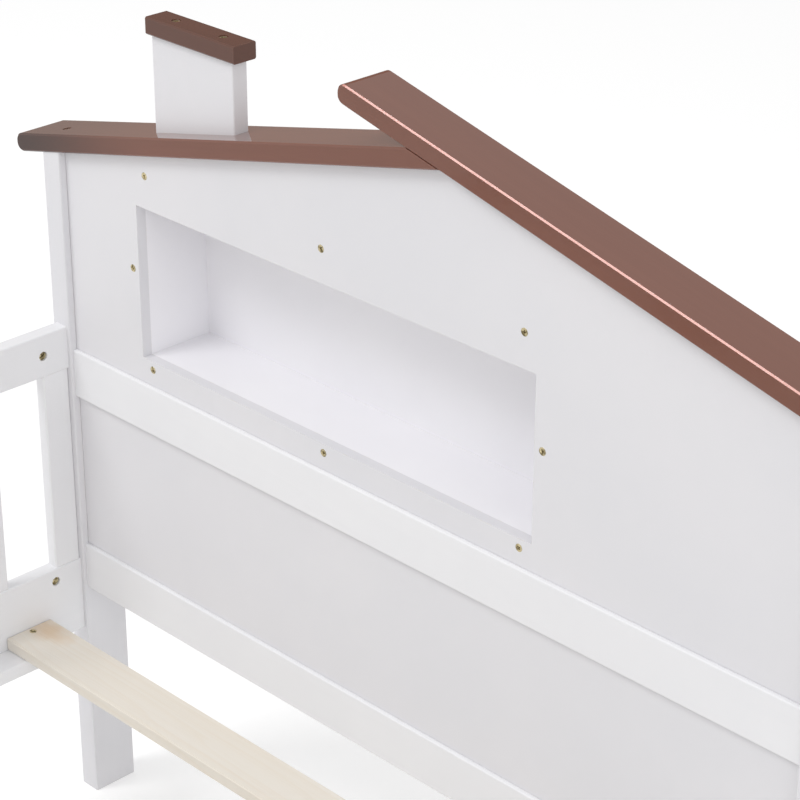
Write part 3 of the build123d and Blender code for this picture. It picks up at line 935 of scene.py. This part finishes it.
@dataclass(frozen=True)
class Seat:
    """Where one fastener sits: the middle of its top, the way it points, and its length."""

    top: Vector
    heading: Vector
    length: float


def solids_of(node: str) -> list[list[Vector]]:
    """Split a CAD node's mesh into its separate solids.

    Args:
        node: The CAD node's name.

    Returns:
        The corner points of each solid.
    """
    mesh = bmesh.new()
    mesh.from_mesh(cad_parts[node].data)
    bmesh.ops.remove_doubles(mesh, verts=mesh.verts, dist=1e-6)
    left = dict.fromkeys(mesh.verts)
    solids = []
    while left:
        stack = [left.popitem()[0]]
        found = []
        while stack:
            corner = stack.pop()
            found.append(corner.co.copy())
            for edge in corner.link_edges:
                other = edge.other_vert(corner)
                if other in left:
                    del left[other]
                    stack.append(other)
        solids.append(found)
    mesh.free()
    return solids


def seat_of(points: list[Vector]) -> Seat:
    """Find how one fastener sits from its CAD solid's corner points.

    Args:
        points: The solid's corners.

    Returns:
        Its seat, with the wider end on top, or the reachable end where both are alike.
    """
    corners = np.array(points)
    middle = corners.mean(axis=0)
    axis = np.linalg.svd(corners - middle, full_matrices=False)[2][0]
    along = (corners - middle) @ axis
    wide = np.linalg.norm(corners - middle - np.outer(along, axis), axis=1)
    ends = along.min(), along.max()
    reach = [wide[np.abs(along - end) < END_DEPTH].max() for end in ends]
    if abs(reach[0] - reach[1]) > HEAD_STEP:
        top_is_low = reach[0] > reach[1]
    elif abs(axis[0]) > 0.9:
        top_is_low = abs(middle[0] + ends[0] * axis[0]) < abs(middle[0] + ends[1] * axis[0])
    else:
        top_is_low = abs(middle[1] + ends[0] * axis[1]) > abs(middle[1] + ends[1] * axis[1])
    ring = corners[np.abs(along - ends[0]) < END_DEPTH]
    core = ring.mean(axis=0) - axis * ((ring - middle) @ axis).mean()
    start, finish = (ends[0], ends[1]) if top_is_low else (ends[1], ends[0])
    top = Vector(core + axis * start)
    tip = Vector(core + axis * finish)
    return Seat(top, (tip - top).normalized(), (tip - top).length)


@dataclass(frozen=True)
class FastenerForm:
    """One kind of fastener: its sizes in millimetres and the recess in its head.

    The profile runs down from the head's rim as (radius, depth) pairs. A negative depth
    is measured up from the fastener's far end.
    """

    profile: tuple[tuple[float, float], ...]
    recess: Recess
    recess_reach: float
    recess_width: float
    recess_depth: float
    sides: int = 32
    recess_taper: float = 0.62

    def recess_outline(self) -> list[tuple[float, float]]:
        """Draw the recess's outline on the head's top.

        Returns:
            Its corners in millimetres, anticlockwise.
        """
        reach, half = self.recess_reach, self.recess_width / 2
        if self.recess is Recess.HEXAGON:
            turns = [math.radians(60 * i) for i in range(6)]
            return [(reach * math.cos(turn), reach * math.sin(turn)) for turn in turns]
        arm = [(reach, -half), (reach, half), (half, half)]
        return [
            (x * c - y * s, x * s + y * c)
            for c, s in ((1, 0), (0, 1), (-1, 0), (0, -1))
            for x, y in arm
        ]

    def add_to(self, mesh: bmesh.types.BMesh, seat: Seat, spin: float) -> None:
        """Add one fastener to a mesh.

        Args:
            mesh: The mesh that holds all the fasteners of a node.
            seat: Where the fastener sits.
            spin: How far its recess is turned, in radians.
        """
        length = seat.length / MM
        rings = []
        for radius, depth in self.profile:
            height = -depth if depth >= 0 else -(length + depth)
            turns = [2 * math.pi * i / self.sides for i in range(self.sides)]
            places = [(radius * math.cos(turn), radius * math.sin(turn), height) for turn in turns]
            rings.append([mesh.verts.new(place) for place in places])
        made = [corner for ring in rings for corner in ring]
        for upper, lower in zip(rings, rings[1:]):
            for i in range(self.sides):
                j = (i + 1) % self.sides
                mesh.faces.new((upper[i], lower[i], lower[j], upper[j])).smooth = True
        mesh.faces.new(reversed(rings[-1]))
        outline = self.recess_outline()
        lip = [mesh.verts.new((x, y, 0.0)) for x, y in outline]
        taper = self.recess_taper
        floor = [mesh.verts.new((x * taper, y * taper, -self.recess_depth)) for x, y in outline]
        count = len(lip)
        for i in range(count):
            j = (i + 1) % count
            mesh.faces.new((lip[i], lip[j], floor[j], floor[i]))
        mesh.faces.new(floor)
        pairs = [(ring[i], ring[(i + 1) % len(ring)]) for ring in (rings[0], lip) for i in range(len(ring))]
        border = [mesh.edges.get(pair) for pair in pairs]
        bmesh.ops.triangle_fill(mesh, use_beauty=True, edges=border)
        made += lip + floor
        stand = (-seat.heading).to_track_quat("Z", "Y").to_matrix().to_4x4()
        place = Matrix.Translation(seat.top) @ stand @ Matrix.Rotation(spin, 4, "Z") @ Matrix.Scale(MM, 4)
        bmesh.ops.transform(mesh, matrix=place, verts=made)


@dataclass
class Fasteners:
    """The screws, bolts and barrel nuts, in place of their plain CAD solids."""

    paints: Paintbox
    screw: FastenerForm = FastenerForm(
        ((3.95, 0.0), (4.15, 0.12), (4.15, 0.3), (2.15, 2.3), (1.9, 3.4), (1.9, -5.0), (0.35, -0.1)),
        Recess.CROSS, 2.3, 1.1, 1.7)
    bolt: FastenerForm = FastenerForm(
        ((5.4, 0.0), (5.9, 0.5), (5.95, 3.6), (5.7, 4.0), (3.0, 4.0), (3.0, -0.8), (2.4, -0.05)),
        Recess.HEXAGON, 2.6, 0.0, 2.6)
    nut: FastenerForm = FastenerForm(
        ((4.55, 0.0), (4.95, 0.45), (4.95, -0.5), (4.5, -0.05)),
        Recess.CROSS, 3.4, 1.7, 1.6)

    def make(self, node: str, form: FastenerForm, seed: int, plate: bpy.types.Material) -> None:
        """Make every fastener of one CAD node as one piece.

        Args:
            node: The CAD node that the piece stands for.
            form: The fastener's form.
            seed: What the recesses' turns are drawn from.
            plate: The plating.
        """
        draw = random.Random(seed)
        mesh = bmesh.new()
        for points in solids_of(node):
            form.add_to(mesh, seat_of(points), draw.uniform(0.0, math.pi))
        bmesh.ops.recalc_face_normals(mesh, faces=mesh.faces)
        data = bpy.data.meshes.new(f"{node}_detailed")
        mesh.to_mesh(data)
        mesh.free()
        data.materials.append(plate)
        piece = bpy.data.objects.new(f"{node}_detailed", data)
        bpy.context.scene.collection.objects.link(piece)
        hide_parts(node)
        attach(piece, BODY)
        LOG.info("%s made", piece.name)

    def build(self) -> None:
        """Make all the fasteners."""
        plate = self.paints.zinc.material()
        self.make("headboard_screws", self.screw, 3, plate)
        self.make("frame_screws", self.screw, 5, plate)
        self.make("side_rail_bolts", self.bolt, 7, plate)
        self.make("board_rail_bolts", self.bolt, 11, plate)
        self.make("barrel_nuts", self.nut, 13, plate)


def main() -> None:
    """Build the studio and the bed's sub-assemblies."""
    logging.basicConfig(level=logging.INFO, format="%(name)s: %(message)s")
    Studio().build()
    paints = make_paintbox()
    sections = (
        Headboard(paints), Niche(paints), RoofAndChimney(paints), SidesAndFence(paints),
        SlatBase(paints), FootEnd(paints), Fasteners(paints),
    )
    for section in sections:
        section.build()
        LOG.info("%s ready", type(section).__name__)


if __name__ == "__main__":
    main()
